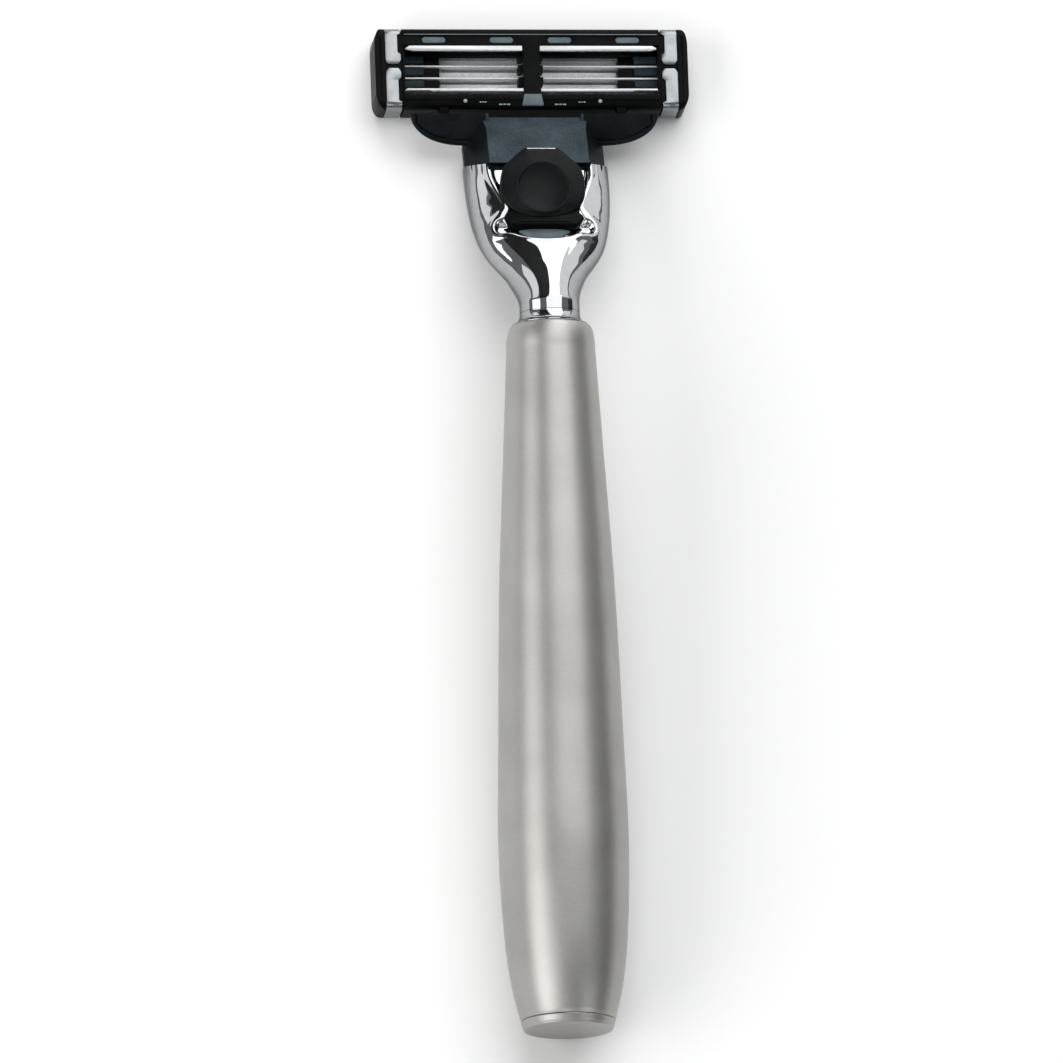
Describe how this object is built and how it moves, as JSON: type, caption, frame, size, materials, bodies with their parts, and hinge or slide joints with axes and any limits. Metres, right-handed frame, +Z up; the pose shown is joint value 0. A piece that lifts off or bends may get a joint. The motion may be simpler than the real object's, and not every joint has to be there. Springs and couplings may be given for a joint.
{
  "type": "cartridge razor",
  "caption": "Metal-handled safety razor with a forked neck, a sliding release button and a pivoting multi-blade cartridge that pulls off.",
  "frame": {"origin": "centre of the object's box on the surface it lies on, blades down", "axes": "+Y along the razor towards the blades, +X across it along the blades, +Z up, towards the back with the release button"},
  "size_m": [0.042, 0.14, 0.0202],
  "materials": {
    "satin_metal": "fine bead-blasted satin",
    "polished_chrome": "mirror-polished chrome plate",
    "steel": "plain drawn steel",
    "blade_steel": "lightly brushed stainless steel",
    "clip_aluminium": "smooth bent aluminium strip",
    "black_plastic": "fine-textured moulded plastic",
    "button_plastic": "soft matt moulded plastic",
    "grey_plastic": "fine-textured blue-grey moulded plastic",
    "guard_rubber": "soft ribbed rubber",
    "strip_polymer": "smooth pale water-soluble strip"
  },
  "bodies": {
    "handle": {"handle_sleeve": "satin_metal", "end_cap": "satin_metal", "threaded_stud": "steel", "neck_collar": "polished_chrome", "fork_head": "polished_chrome", "nose_insert": "black_plastic", "button_springs": "steel", "plunger_spring": "steel"},
    "ejector": {"release_button": "button_plastic", "ejector_slide": "black_plastic"},
    "plunger": {"plunger": "black_plastic"},
    "interconnect": {"interconnect": "grey_plastic"},
    "blade_unit": {"cartridge_housing": "black_plastic", "guard_strip": "guard_rubber", "lubricating_strip": "strip_polymer", "inner_bars": "blade_steel", "clip_left": "clip_aluminium", "clip_right": "clip_aluminium"},
    "blade_a": {"blade_support_1": "blade_steel", "blade_1": "blade_steel"},
    "blade_b": {"blade_support_2": "blade_steel", "blade_2": "blade_steel"},
    "blade_c": {"blade_support_3": "blade_steel", "blade_3": "blade_steel"}
  },
  "joints": [
    {"name": "button_press", "type": "slide", "parent": "handle", "child": "ejector", "axis": [0, 0.9092, -0.4163], "range_m": [0, 0.004], "stiffness_N_per_m": 250, "springref_m": -0.002},
    {"name": "cartridge_release", "type": "slide", "parent": "ejector", "child": "interconnect", "axis": [0, 0.9092, -0.4163], "range_m": [0, 0.012]},
    {"name": "blade_pivot", "type": "hinge", "parent": "interconnect", "child": "blade_unit", "pos_m": [0, 0.05928, 0.0003], "axis": [1, 0, 0], "range_deg": [0, 40], "stiffness_Nm_per_rad": 0.002, "springref_deg": -17.19},
    {"name": "plunger_slide", "type": "slide", "parent": "handle", "child": "plunger", "axis": [0, 0.9092, -0.4163], "range_m": [-0.0013, 0]},
    {"name": "blade_a_float", "type": "slide", "parent": "blade_unit", "child": "blade_a", "axis": [0, 0, 1], "range_m": [0, 0.00025], "stiffness_N_per_m": 1000, "springref_m": -0.0001},
    {"name": "blade_b_float", "type": "slide", "parent": "blade_unit", "child": "blade_b", "axis": [0, 0, 1], "range_m": [0, 0.00025], "stiffness_N_per_m": 1000, "springref_m": -0.0001},
    {"name": "blade_c_float", "type": "slide", "parent": "blade_unit", "child": "blade_c", "axis": [0, 0, 1], "range_m": [0, 0.00025], "stiffness_N_per_m": 1000, "springref_m": -0.0001}
  ],
  "couplings": [
    {"joint": "plunger_slide", "follows": "blade_pivot", "m_per_rad": -0.0018}
  ]
}
